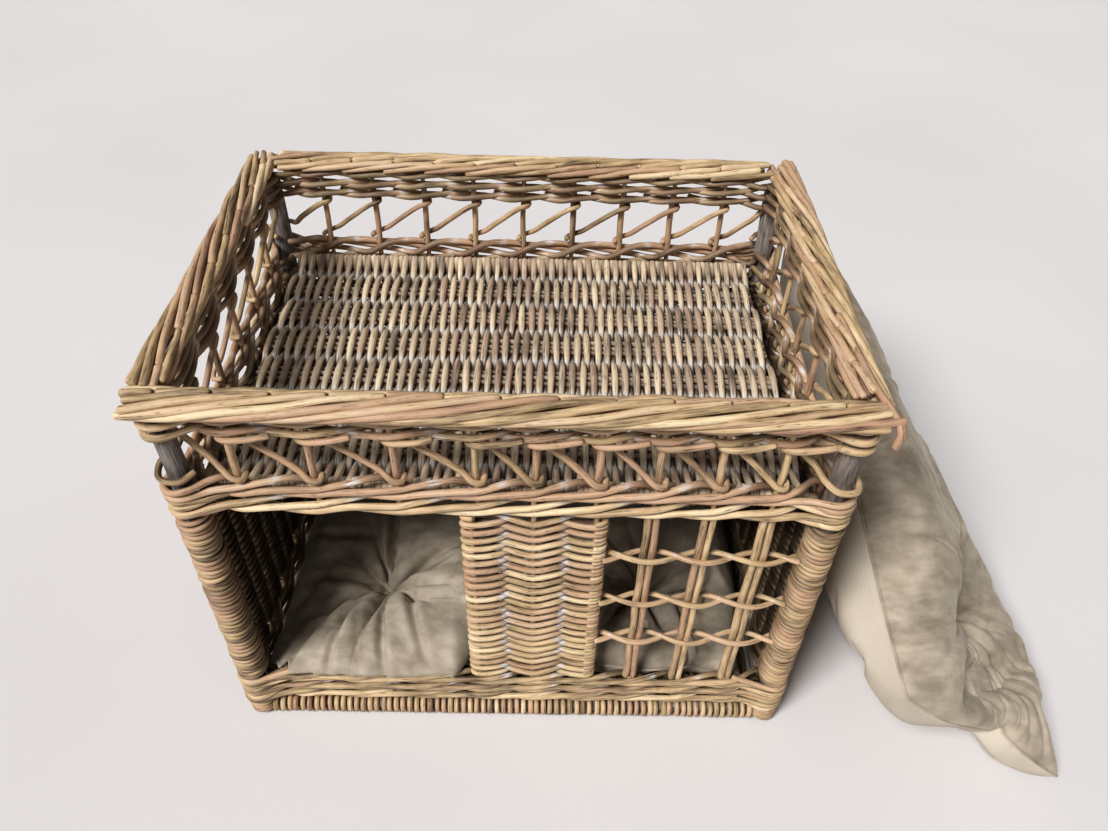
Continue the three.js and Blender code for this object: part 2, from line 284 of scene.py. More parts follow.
def placed(name, data):
    """A new object in the scene that holds the data."""
    made = bpy.data.objects.new(name, data)
    bpy.context.scene.collection.objects.link(made)
    return made


def bell(distance, width):
    """1 at no distance, and next to 0 from twice the width on."""
    return np.exp(-((distance / width) ** 2))


def curve(points, step=0.003):
    """A smooth line through the points, with a point about every step."""
    p = np.array(points, float)
    p = np.vstack([2 * p[0] - p[1], p, 2 * p[-1] - p[-2]])
    made = []
    for a, b, c, d in zip(p, p[1:], p[2:], p[3:]):
        count = max(2, int(np.linalg.norm(c - b) / step))
        t = np.linspace(0, 1, count, endpoint=False)[:, None]
        cubic = (3 * b - a - 3 * c + d) * t**3
        made.append((2 * b + (c - a) * t + (2 * a - 5 * b + 4 * c - d) * t * t + cubic) / 2)
    return np.vstack([*made, p[-2:-1]])


def smoothed(values, reach):
    """values averaged with their neighbours, up to reach places away."""
    kernel = np.hanning(2 * reach + 3)[1:-1]
    padded = np.pad(values, reach, mode="edge")
    return np.convolve(padded, kernel / kernel.sum(), mode="valid")


def directions(line):
    """Two directions across the line at each point, which follow it without turning about it, and its own."""
    tangent = np.gradient(line, axis=0)
    tangent /= np.linalg.norm(tangent, axis=1)[:, None]
    across = np.empty_like(tangent)
    side = np.zeros(3)
    side[np.argmin(np.abs(tangent[0]))] = 1
    for i, t in enumerate(tangent):
        side = side - t * (side @ t)
        side = side / math.sqrt(side @ side)
        across[i] = side
    return across, np.cross(tangent, across), tangent


class Weave:
    """Rods that make one piece together. tones is the range of their colours, from 0, dark, to 1, straw."""

    # Each end has two smaller rings: (share of the radius, how far past the end in radii).
    END_RINGS = ((0.86, 0.32), (0.45, 0.55))

    # How much darker a rod's underside is painted than its top: painted shade, as the light comes from above.
    UNDERSIDE_PAINTED_SHADE = 0.42

    # What the materials read from each point: rod holds the tone, the painted shade and the whitewash.
    ATTRIBUTES = (("rod", "FLOAT_COLOR", "color"), ("grain", "FLOAT_VECTOR", "vector"))

    def __init__(self, seed, tones=(0.3, 0.8), wash=0.05):
        self.random = np.random.default_rng(seed)
        self.tones = tones
        self.wash = wash
        self.rings = []
        self.attributes = []

    def rod(self, line, radius, white=0.0, wobble=0.0004, taper=0.06, shade=1.0):
        """Adds a rod along the line. white is the whitewash on it, and shade is painted shade: the share of
        its full colour that it keeps.

        Each is one number, or one for each point."""
        r = self.random
        line = np.array(line, float)
        along = np.append(0, np.cumsum(np.linalg.norm(np.diff(line, axis=0), axis=1)))
        waves = [np.sin(along * r.uniform(30, 75) + r.uniform(0, 6.3)) for _ in range(4)]
        line = line + wobble * np.stack(waves[:3], axis=1)
        swelling = 1 + 0.04 * waves[3] + taper * r.choice([-1, 1]) * (along / along[-1] - 0.5)
        radii = radius * r.uniform(0.94, 1.06) * swelling
        a, b, t = directions(line)
        angle = np.arange(RING_SIDES) / RING_SIDES * 2 * math.pi
        oval = 1 + 0.05 * np.sin(2 * angle + r.uniform(0, 6.3))
        circle = np.cos(angle)[:, None] * a[:, None] + np.sin(angle)[:, None] * b[:, None]
        spokes = circle * oval[:, None] * radii[:, None, None]
        rings = line[:, None] + spokes
        first = [line[0] - t[0] * radii[0] * far + spokes[0] * share for share, far in self.END_RINGS[::-1]]
        last = [line[-1] + t[-1] * radii[-1] * far + spokes[-1] * share for share, far in self.END_RINGS]
        rings = np.concatenate([first, rings, last])
        edge = len(self.END_RINGS)
        along = np.pad(along, edge, mode="edge")
        white, shade = (np.pad(np.broadcast_to(v, len(line)), edge, mode="edge") for v in (white, shade))
        tone = r.uniform(*self.tones)
        start = r.uniform(0, 50)
        rod = np.empty((len(along), RING_SIDES, 4))
        rod[..., 0] = tone
        # Painted shade: the second channel is the given shade, darkened further on the rod's downward-facing
        # side.
        under = np.clip(-spokes[..., 2] / np.linalg.norm(spokes, axis=2), 0, 1)
        rod[..., 1] = shade[:, None] * (1 - self.UNDERSIDE_PAINTED_SHADE * np.pad(under, ((edge, edge), (0, 0)), mode="edge"))
        rod[..., 2] = (self.wash + white)[:, None]
        rod[..., 3] = 1
        grain = np.empty((len(along), RING_SIDES, 3))
        grain[..., 0] = np.cos(angle) * np.mean(radius) + start
        grain[..., 1] = np.sin(angle) * np.mean(radius)
        grain[..., 2] = (along + start)[:, None]
        self.rings.append(rings)
        self.attributes.append((rod, grain))

    def mesh(self, name):
        """The rods as one mesh, each a closed tube."""
        corners, starts, first, filled = [], [], 0, 0
        around = np.arange(RING_SIDES)
        for rings in self.rings:
            count = len(rings)
            base = first + np.arange(count - 1)[:, None] * RING_SIDES
            here, after = base + around, base + (around + 1) % RING_SIDES
            quads = np.stack([here, after, after + RING_SIDES, here + RING_SIDES], axis=2)
            end = first + (count - 1) * RING_SIDES
            corners += [quads.ravel(), first + around[::-1], end + around]
            quad_count = (count - 1) * RING_SIDES
            ends = 4 * quad_count + np.array([0, RING_SIDES])
            starts += [filled + 4 * np.arange(quad_count), filled + ends]
            filled += 4 * quad_count + 2 * RING_SIDES
            first += count * RING_SIDES
        mesh = bpy.data.meshes.new(name)
        mesh.vertices.add(first)
        mesh.vertices.foreach_set("co", np.concatenate(self.rings).ravel())
        mesh.loops.add(filled)
        mesh.loops.foreach_set("vertex_index", np.concatenate(corners))
        starts = np.concatenate(starts)
        mesh.polygons.add(len(starts))
        mesh.polygons.foreach_set("loop_start", starts)
        mesh.update(calc_edges=True)
        mesh.polygons.foreach_set("use_smooth", np.ones(len(starts), bool))
        for number, (key, kind, value) in enumerate(self.ATTRIBUTES):
            attribute = mesh.attributes.new(key, kind, "POINT")
            attribute.data.foreach_set(value, np.concatenate([x[number] for x in self.attributes]).ravel())
        return mesh

    def piece(self, name, material, slot, *nodes):
        """The rods as a piece of the basket that stands for the CAD nodes."""
        mesh = self.mesh(name)
        mesh.materials.append(material)
        made = placed(name, mesh)
        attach(made, "basket")
        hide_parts(*nodes)


class Side:
    """One side of the basket. A place on it is (along, outward, height): along is rightward from outside."""

    def __init__(self, name, turns, half, distance, uprights):
        self.name = name
        self.turns = turns
        self.half = half
        self.distance = distance
        self.uprights = np.array(uprights)
        self.stakes = np.array([-half, *uprights, half])

    def place(self, along, outward, height):
        """Places on this side as points in the row frame."""
        x, y, z = np.broadcast_arrays(along, -(self.distance + np.asarray(outward)), height)
        for _ in range(self.turns):
            x, y = -y, x
        return np.stack([x, y, z], axis=-1).astype(float)

    def lay(self, points):
        """A list of (along, outward, height) as points in the row frame."""
        return self.place(*np.array(points, float).T)


def even_bays(half, bays):
    return np.linspace(-half, half, bays + 1)[1:-1]


FRONT = Side("front", 0, POST_X, POST_Y, FRONT_UPRIGHTS)
RIGHT = Side("right", 1, POST_Y, POST_X, even_bays(POST_Y, END_BAYS))
BACK = Side("back", 2, POST_X, POST_Y, even_bays(POST_X, BACK_BAYS))
LEFT = Side("left", 3, POST_Y, POST_X, even_bays(POST_Y, END_BAYS))
SIDES = [LEFT, FRONT, RIGHT, BACK]
CORNERS = [(x, y) for y in ("front", "back") for x in ("left", "right")]
CORNER_SIGN = {"left": -1, "right": 1, "front": -1, "back": 1}


# ---------------------------------------------------------------- the basket's pieces


def build_posts():
    """Weathered poles, and rods wound closely round them: three at the foot, the rest from sill to deck."""
    radius, pitch = 0.0032, 0.0074
    reach = POST_RADIUS + radius - 0.0002
    turn = np.linspace(0.0, 2 * math.pi, 26)
    for number, (x_name, y_name) in enumerate(CORNERS):
        x, y = CORNER_SIGN[x_name] * POST_X, CORNER_SIGN[y_name] * POST_Y
        node = f"post_{y_name}_{x_name}"
        bottom, top = levels(node)
        pole = Weave(100 + number, (0.25, 0.55), 0.12)
        heights = np.arange(bottom + 0.006, top - 0.006, 0.006)
        pole.rod([(x, y, z) for z in heights], POST_RADIUS * 0.97, wobble=0.0007, taper=0.02)
        pole.piece(f"pole_{y_name}_{x_name}", POST_WOOD, "post_wood", node)

        wrap = Weave(120 + number, (0.16, 0.54), 0.04)
        low, high = levels(f"post_wrap_{y_name}_{x_name}")
        inward = math.atan2(-y, -x)
        foot = bottom + 0.0002 + pitch * np.arange(1, 4)
        for level in [*foot, *np.arange(low + radius, high - radius / 2, pitch)]:
            tilt = wrap.random.uniform(-0.0006, 0.0034)
            r = reach + wrap.random.uniform(-0.0006, 0.0011)
            angle = inward + wrap.random.uniform(-0.4, 0.4) + turn
            height = level + tilt * np.cos(turn) + wrap.random.uniform(-0.0004, 0.0004)
            ring = np.stack([x + r * np.cos(angle), y + r * np.sin(angle), height], axis=1)
            # Painted shade: each ring is painted darker on its side that faces into the basket.
            shade = 1 - 0.45 * np.clip(np.cos(angle - inward), 0, 1)
            wrap.rod(ring, radius, wobble=0.0002, taper=0.02, shade=shade)
        wrap.piece(f"wound_post_{y_name}_{x_name}", WILLOW, "willow", f"post_wrap_{y_name}_{x_name}")


def build_bars():
    """The poles that carry the floor and the deck."""
    names = [f"base_bar_{s.name}" for s in SIDES] + ["deck_bar_front", "deck_bar_back"]
    for number, node in enumerate(names):
        low, high = map(np.array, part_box(node))
        size = high - low
        axis = int(np.argmax(size))
        radius = np.sort(size)[0] / 2
        middle = (low + high) / 2
        places = np.arange(low[axis] + radius, high[axis] - radius, 0.008)
        line = np.tile(middle, (len(places), 1))
        line[:, axis] = places
        bar = Weave(140 + number, (0.2, 0.6), 0.05)
        bar.rod(line, radius * 0.95, wobble=0.0003, taper=0.02)
        bar.piece(f"pole_{node}", POST_WOOD, "post_wood", node)


def painted_shade_inside(out, swing, inside):
    """Painted shade: the share of its full colour that a rod keeps, from 1 at the outer face to inside at the
    inner face.
    """
    deep = np.clip((0.25 * swing - out) / (1.1 * swing), 0, 1)
    return 1 - (1 - inside) * deep


def build_band(name, node, level_range, rounds, strands, radius, rise, seed, tones, extra_wraps=()):
    """A woven band round the basket. Each of a round's strands passes behind one stake in so many.

    It climbs by rise from one pass behind to the next. extra_wraps are further turns round the corners."""
    bottom, top = level_range
    band = Weave(seed, tones, 0.02)
    pitch = (top - bottom - 0.002) / rounds
    swing = STAKE_RADIUS + radius - 0.0004
    step = 0.0042
    corner = POST_RADIUS + radius + 0.0002
    inset = corner * math.sqrt(0.5)
    for turn in range(rounds):
        level = bottom + pitch * (turn + 0.5)
        for strand in range(strands):
            line, white, outs, counted = [], [], [], 0
            offset = strand + turn * (1 if strands > 2 else 0)
            for side in SIDES:
                ends = [-1 if (counted + k - offset) % strands == 0 else 1 for k in (0, len(side.stakes) - 1)]
                low = -side.half + (inset if ends[0] < 0 else 0)
                high = side.half - (inset if ends[1] < 0 else 0)
                u = np.linspace(low, high, int((high - low) / step))
                index = np.interp(u, side.stakes, np.arange(len(side.stakes))) + counted
                phase = (index - offset) % strands
                nearest = np.minimum(phase, strands - phase)
                out = swing * (1 - 2 * bell(nearest, 0.58))
                for end, place in zip(ends, (low, high)):
                    near = bell(u - place, 0.021)
                    out = out * (1 - near) + near * (corner if end > 0 else -inset)
                height = level + rise * smoothed(phase / strands - 0.5, 7)
                stake_gap = np.min(np.abs(u[:, None] - side.uprights), axis=1)
                height = height - 0.0016 * bell(stake_gap, 0.011) * np.sign(out)
                line.append(side.place(u, out, height))
                outs.append(out)
                white.append(0.66 * bell(out - 0.15 * swing, 0.42 * swing))
                if ends[1] > 0:
                    arc = np.linspace(0, math.pi / 2, 9)[1:-1]
                    around = side.place(side.half + corner * np.sin(arc), corner * np.cos(arc), height[-1])
                    line.append(around)
                    outs.append(np.full(len(arc), corner))
                    white.append(np.zeros(len(arc)))
                counted += len(side.stakes) - 1
            line, white = np.concatenate(line), np.concatenate(white)
            line[:, 2] = smoothed(line[:, 2], 2)
            # Painted shade on each strand where it runs behind the stakes.
            inner_shade = painted_shade_inside(np.concatenate(outs), swing, 0.42)
            band.rod(line, radius, smoothed(white, 2), wobble=0.0006, taper=0.1, shade=inner_shade)
    for side in SIDES:
        for u in side.uprights:
            heights = np.linspace(bottom + 0.004, top - 0.008, 6)
            band.rod(side.place(u, 0, heights), STAKE_RADIUS, wobble=0.0002)
        for share in extra_wraps:
            level = bottom + share * (top - bottom)
            points = [(side.half - 0.05, 0.002, level + 0.004), (side.half - 0.022, 0.010, level)]
            points += [
                (side.half + corner * math.sin(a), corner * math.cos(a), level)
                for a in np.linspace(0, math.pi / 2, 5)
            ]
            points += [(side.half + 0.010, -0.022, level), (side.half + 0.002, -0.05, level + 0.004)]
            band.rod(side.lay(curve(points, 0.004)), radius * 0.94, wobble=0.0004)
    band.piece(name, WILLOW, "willow", *(f"{node}_{side.name}" for side in SIDES))


def randing(weave, side, stakes, low, high, pitch, radius, inside, dips, edge_wraps=False):
    """Rows that pass in front of and behind the stakes by turns. dips is a front row's sag at each stake.
    inside is the painted shade that a row keeps at the inner face, behind the stakes.

    With edge_wraps the rows turn round the end stakes."""
    swing = STAKE_RADIUS + radius - 0.0006
    bay = np.mean(np.diff(stakes))
    for row, level in enumerate(np.arange(low + radius, high - radius * 0.6, pitch)):
        step = bay / 11
        u = np.arange(stakes[0], stakes[-1] + step / 2, step)
        index = np.interp(u, stakes, np.arange(len(stakes)))
        out = swing * np.cos(math.pi * (index + row))
        out = np.sign(out) * swing * np.abs(out / swing) ** 0.7
        depth = np.interp(index, np.arange(len(stakes)), dips)
        dip = depth * (1 - np.abs(index - np.round(index)) * 2) * (out > 0)
        height = level - smoothed(dip, 1) + 0.4 * depth
        white = 0.68 * bell(out, 0.6 * swing) * weave.random.uniform(0.5, 1.15)
        line = side.place(u, out, height)
        # Painted shade where the row passes behind the stakes.
        shade = painted_shade_inside(out, swing, inside)
        if edge_wraps:
            line, white = wrapped_ends(side, u, out, height, white, pitch, row)
            # The turned ends are left without painted shade.
            shade = smoothed(np.pad(shade, (len(line) - len(u)) // 2, constant_values=1.0), 3)
        weave.rod(line, radius, white, wobble=0.0003, shade=shade)


def wrapped_ends(side, u, out, height, white, pitch, row):
    """A row lengthened at both ends by its turn round the edge stake, towards the next row at one end."""
    arc = np.linspace(0, math.pi, 7)[1:]
    reach = 0.0105
    points = [np.stack([u, out, height], axis=1)]
    for end, sign in ((0, -1), (-1, 1)):
        turned = np.stack(
            [
                u[end] + sign * reach * np.sin(arc),
                out[end] * np.cos(arc),
                height[end] + (1 - np.cos(arc)) / 2 * pitch * (1 if (row + (sign > 0)) % 2 else -1) * 0.5,
            ],
            axis=1,
        )
        points = [turned[::-1], *points] if sign < 0 else [*points, turned]
    line = side.lay(np.concatenate(points))
    return line, np.concatenate([np.zeros(len(arc)), white, np.zeros(len(arc))])


def build_walls():
    """Three closed walls of plain weave and the narrow panel between the doorway and the window."""
    low, high = levels("wall_back")
    for number, side in enumerate((BACK, LEFT, RIGHT)):
        wall = Weave(200 + number, (0.24, 0.7), 0.03)
        reach = POST_RADIUS + 0.004
        stakes = np.concatenate([[-side.half + reach], side.uprights, [side.half - reach]])
        stakes = np.sort(np.concatenate([stakes, (stakes[1:] + stakes[:-1]) / 2]))
        dips = np.full(len(stakes), 0.0007)
        randing(wall, side, stakes, low, high, pitch=0.0056, radius=0.0033, inside=0.12, dips=dips)
        heights = np.linspace(low + 0.002, high - 0.002, 30)
        for u in stakes:
            wall.rod(side.place(u, 0, heights), STAKE_RADIUS, wobble=0.0005)
        wall.piece(f"woven_wall_{side.name}", WILLOW, "willow", f"wall_{side.name}")

    left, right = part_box("front_panel")
    panel = Weave(230, (0.42, 0.95), 0.05)
    stakes = np.linspace(left.x + 0.0135, right.x - 0.0135, 3)
    randing(
        panel,
        FRONT,
        stakes,
        left.z,
        right.z,
        pitch=0.0066,
        radius=0.0033,
        inside=0.1,
        dips=(0.0015, 0.0082, 0.0015),
        edge_wraps=True,
    )
    heights = np.linspace(left.z + 0.002, right.z - 0.002, 30)
    for u in stakes:
        panel.rod(FRONT.place(u, 0, heights), STAKE_RADIUS, wobble=0.0002)
    panel.piece("woven_front_panel", WILLOW, "willow", "front_panel")


def build_lattice():
    """Rail uprights, and between them rods that wrap one upright's top and the next one's foot."""
    top, foot = RAIL_BAND[0] + 0.003, DECK_BAND[1] + 0.005
    for number, side in enumerate(SIDES):
        lattice = Weave(260 + number, (0.18, 0.62), 0.06)
        r = lattice.random
        for u in side.uprights:
            middle = (u + r.uniform(-0.003, 0.003) / 2, 0.0003, (top + foot) / 2)
            points = [(u, 0, DECK_BAND[1] - 0.012), middle, (u, 0, top + 0.02)]
            lattice.rod(side.lay(curve(points, 0.006)), STAKE_RADIUS * 1.24, wobble=0.0004)
        for here, after in zip(side.stakes, side.stakes[1:]):
            first, last = here == side.stakes[0], after == side.stakes[-1]
            drop = r.uniform(-0.0015, 0.0015)
            if first:
                points = [(here + 0.001, -0.004, top + 0.010)]
            else:
                points = [
                    (here + r.uniform(0.036, 0.046), 0.0100, top + 0.0050),
                    (here + 0.024, 0.0102, top - 0.0002),
                    (here + 0.004, 0.0086, top - 0.0040),
                    (here - 0.0066, 0.0034, top - 0.0052),
                    (here - 0.0052, -0.0052, top - 0.0062),
                    (here + 0.0040, -0.0072, top - 0.0085),
                ]
            # The last rod wraps the post, which is thicker than an upright.
            reach = 0.0170 if last else 0.0074
            low = foot + (0.015 if last else 0.0095 + drop)
            lean = (top - 0.0075) - low
            begin, finish = here + (0.012 if first else 0.004), after - reach * (1.2 if last else 1.9)
            for share in (0.25, 0.5, 0.75):
                along = begin + share * (finish - begin)
                points.append((along, -0.0065 + 0.0075 * share, top - 0.0075 - share * lean))
            if last:
                points += [
                    (after - reach * 1.15, 0.0060, low - 0.004),
                    (after - reach * 0.4, reach * 1.03, low - 0.009),
                    (after + reach * 0.75, reach * 0.80, foot + 0.003),
                    (after + reach, -reach * 0.35, foot + 0.002),
                    (after + reach * 0.2, -reach * 1.02, foot + 0.002),
                ]
            else:
                points += [
                    (after - reach * 1.9, 0.0022, low - 0.001),
                    (after - reach * 0.5, reach * 1.08, foot + 0.0006 + drop),
                    (after + reach * 0.8, reach * 0.8, foot - 0.003 + drop),
                    (after + reach * 1.02, -reach * 0.4, foot - 0.001 + drop),
                ]
            lattice.rod(side.lay(curve(points, 0.0035)), STRAND_RADIUS * 0.98, wobble=0.0002)
        lattice.piece(f"woven_rail_{side.name}", WILLOW, "willow", f"rail_lattice_{side.name}")


def build_border():
    """The rolled border: strands climb from under the outer edge over the top to the inner side."""
    radius = 0.0040
    # The half width and half height of the oval that the strands' middle lines follow.
    wide, tall = 0.0154, 0.0090
    centre = RIM[1] - tall - radius - 0.0002
    outset = -POST_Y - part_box("rim_border_front")[0].y - wide - radius
    first_angle, last_angle, cut = np.radians([-55, 205, 118])
    strand_bays = 5.6
    core = ((-0.0085, 0.003), (0.0, 0.0045), (0.0085, 0.003), (-0.006, -0.004), (0.006, -0.004))
    # How far each side's border runs past its posts' middles, at its left and its right end.
    overruns = {
        "front": (outset + 0.014, outset + 0.014),
        "back": (-0.012, -0.012),
        "left": (outset + 0.012, outset - 0.018),
        "right": (outset - 0.018, outset + 0.012),
    }
    for number, side in enumerate((FRONT, BACK, LEFT, RIGHT)):
        border = Weave(300 + number, (0.3, 0.98), 0.03)
        r = border.random
        bay = 2 * side.half / (len(side.stakes) - 1) * (1.0 if side in (FRONT, BACK) else 0.95)
        length = strand_bays * bay
        begin, finish = -side.half - overruns[side.name][0], side.half + overruns[side.name][1]
        for start in np.arange(begin - length, finish, 0.8 * bay) + r.uniform(0, bay):
            u = np.arange(start, start + length, 0.006)
            angle = first_angle + (u - start) / length * (last_angle - first_angle)
            sway = 1 + 0.05 * np.sin(u * 31 + r.uniform(0, 6))
            out = outset + wide * np.cos(angle) * sway
            height = centre + tall * np.sin(angle) + 0.0004 * np.sin(u * 47 + r.uniform(0, 6))
            butt = smoothed(np.where((angle > cut) & (angle < cut + 0.25), -0.0022, 0.0), 3)
            line = side.place(u, out, height + butt)
            white = 0.3 * np.exp(-((angle - cut) ** 2) / 0.02) + 0.2 * np.exp(-((angle + 0.5) ** 2) / 0.1)
            low_end, high_end = begin + r.uniform(-0.006, 0.006), finish + r.uniform(-0.006, 0.006)
            inside = (u > low_end) & (u < high_end)
            for part in (inside & (angle < cut), inside & (angle >= cut + 0.03)):
                if part.sum() > 4:
                    thick = radius * r.uniform(0.92, 1.04)
                    border.rod(line[part], thick, white[part], wobble=0.0005, taper=0.16)
        u = np.arange(begin + 0.012, finish - 0.012, 0.008)
        for out, level in core:
            border.rod(side.place(u, outset + out, centre + level - 0.002), radius, wobble=0.0004)
        if side is RIGHT:
            top = RIM[1] - radius - 0.0006
            hook = [(-0.09, 0.004, top), (-0.19, 0.011, top + 0.001), (-0.234, 0.020, top - 0.001)]
            hook += [(-0.253, 0.026, top - 0.010), (-0.256, 0.024, top - 0.026)]
            border.rod(side.lay(curve(hook, 0.005)), radius, wobble=0.0003)
        border.piece(f"rolled_border_{side.name}", WILLOW, "willow", f"rim_border_{side.name}")


def build_window():
    """Three pairs of upright rods, and three pairs of weavers that twist round each other between them."""
    nodes = [f"window_stake_{pair}{letter}" for pair in (1, 2, 3) for letter in "ab"]
    for number, node in enumerate(nodes):
        low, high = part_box(node)
        x, y = (low.x + high.x) / 2, (low.y + high.y) / 2
        stake = Weave(330 + number, (0.42, 0.66), 0.34)
        heights = np.linspace(low.z - 0.006, high.z + 0.006, 40)
        stake.rod([(x, y, z) for z in heights], 0.0043, wobble=0.0006, taper=0.08)
        stake.piece(f"{node}_rod", WILLOW, "willow", node)
    first, last = ((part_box(a)[0].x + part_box(b)[1].x) / 2 for a, b in (nodes[:2], nodes[-2:]))
    spacing, radius = (last - first) / 2, 0.0032
    weavers = [f"window_weaver_{level}_{letter}" for level in ("top", "middle", "bottom") for letter in "ab"]
    for number, node in enumerate(weavers):
        low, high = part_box(node)
        weaver = Weave(350 + number, (0.45, 0.8), 0.04)
        x = np.arange(low.x - 0.004, high.x + 0.004, 0.003)
        angle = math.pi * (x - first) / spacing + (math.pi if node.endswith("_b") else 0.0)
        out = ((high.y - low.y) / 2 - radius) * np.cos(angle)
        height = (low.z + high.z) / 2 - 0.0018 * np.sin(angle) + 0.0006 * np.cos(angle)
        white = 0.5 * bell(out, 0.0022)
        weaver.rod(FRONT.place(x, out, height), radius, white, wobble=0.0005)
        weaver.piece(f"{node}_rod", WILLOW, "willow", node)


def mat_rods(weave, node, bar, pitch, radius, swing, wash):
    """A mat of rods along Y, over and under groups of rods along X. They turn round a bar at each end."""
    low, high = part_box(node)
    bar_low, bar_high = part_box(bar)
    bar_y, bar_z = (bar_low.y + bar_high.y) / 2, (bar_low.z + bar_high.z) / 2
    reach = (bar_high.z - bar_low.z) / 2 + radius
    middle = (low.z + high.z) / 2
    group_y = np.linspace(-bar_y, bar_y, MAT_GROUPS + 2)[1:-1]
    gap = group_y[1] - group_y[0]
    r = weave.random
    for number, x in enumerate(np.arange(low.x + radius + 0.001, high.x - radius, pitch)):
        x += r.uniform(-0.0005, 0.0005)
        sign = 1 if number % 2 else -1
        y = np.arange(-bar_y + 0.012, bar_y - 0.010, gap / 13)
        over = sign * np.cos(math.pi * (y - group_y[0]) / gap)
        shaped = np.sign(over) * np.abs(over) ** 0.6
        slant = r.uniform(-0.0004, 0.0007)
        x_at = x + slant * np.sin(math.pi * (y - group_y[0]) / gap) * sign
        line = np.stack([x_at, y, middle + swing * shaped], axis=1)
        white = wash * (0.75 * bell(over, 0.4) + 0.12)
        # Painted shade: a rod is painted darker where it passes under a group, and never below 0.3.
        shade = 1 - 0.75 * np.clip(0.25 - over, 0, 1)
        thick = radius * (0.8 + 0.26 * np.abs(over) ** 0.8)
        for end in (-1, 1):
            angle = np.linspace(0.35, 1.25 * math.pi, 8)
            bend_y = end * (bar_y + reach * np.sin(angle))
            bend_z = np.maximum(bar_z + reach * np.cos(angle), 1.26 * radius)
            bend = np.stack([np.full(len(angle), x_at[0 if end < 0 else -1]), bend_y, bend_z], axis=1)
            line = np.concatenate([bend[::-1], line] if end < 0 else [line, bend])
            beside = (len(angle), 0) if end < 0 else (0, len(angle))
            white, thick = (np.pad(v, beside, mode="edge") for v in (white, thick))
            # The bends round the bars get no painted shade.
            shade = np.pad(shade, beside, constant_values=1.0)
        weave.rod(line, thick, white, wobble=0.0004, shade=np.maximum(shade, 0.3))
    x = np.arange(low.x + 0.004, high.x - 0.003, 0.009)
    for y in group_y:
        for shift in (-1, 0, 1):
            level = middle + r.uniform(-0.0006, 0.0006)
            line = np.stack([x, np.full(len(x), y + shift * 0.0088), np.full(len(x), level)], axis=1)
            # Painted shade: the cross rods, which lie under the weavers, are painted darker.
            weave.rod(line, radius * 0.8, wash * 0.5, wobble=0.0007, shade=0.55)


def build_mats():
    deck = Weave(400, (0.3, 0.95), 0.10)
    mat_rods(deck, "deck_weave", "deck_bar_back", pitch=0.0063, radius=0.0040, swing=0.0054, wash=0.5)
    deck.piece("woven_deck", DECK_WILLOW, "deck_willow", "deck_weave")
    floor = Weave(410, (0.3, 0.8), 0.05)
    mat_rods(floor, "floor_weave", "base_bar_back", pitch=0.0088, radius=0.0032, swing=0.0062, wash=0.3)
    floor.piece("woven_floor", WILLOW, "willow", "floor_weave")


build_posts()
build_bars()
build_band(
    "waled_sill",
    "sill_band",
    SILL_BAND,
    rounds=3,
    strands=3,
    radius=0.0038,
    rise=0.017,
    seed=500,
    tones=(0.22, 0.8),
    extra_wraps=(0.12, 0.4, 0.68, 0.9),
)
build_band(
    "waled_deck_band",
    "deck_band",
    DECK_BAND,
    rounds=2,
    strands=3,
    radius=0.0039,
    rise=0.027,
    seed=510,
    tones=(0.3, 0.9),
    extra_wraps=(0.12, 0.52),
)
# The twined band runs up into the border.
build_band(
    "twined_rail_band",
    "rail_band",
    (RAIL_BAND[0], RAIL_BAND[1] + 0.011),
    rounds=3,
    strands=2,
    radius=0.0038,
    rise=0.007,
    seed=520,
    tones=(0.34, 0.86),
)
build_walls()
build_lattice()
build_border()
build_window()
build_mats()


# ---------------------------------------------------------------- cushions

# The cells of a cushion's sheet along its length and its width.
CELLS = (88, 58)
# The share of a cushion's height that a tuft takes away, and how far its cloth may move as it is blown up.
TUFT_DEPTH = 0.93
SWELLING = 0.023
# No cushion comes nearer to a post's middle than this: it clears the wound rods.
WRAP_REACH = POST_RADIUS + 0.0098
CLOTH_THICKNESS = 0.0016


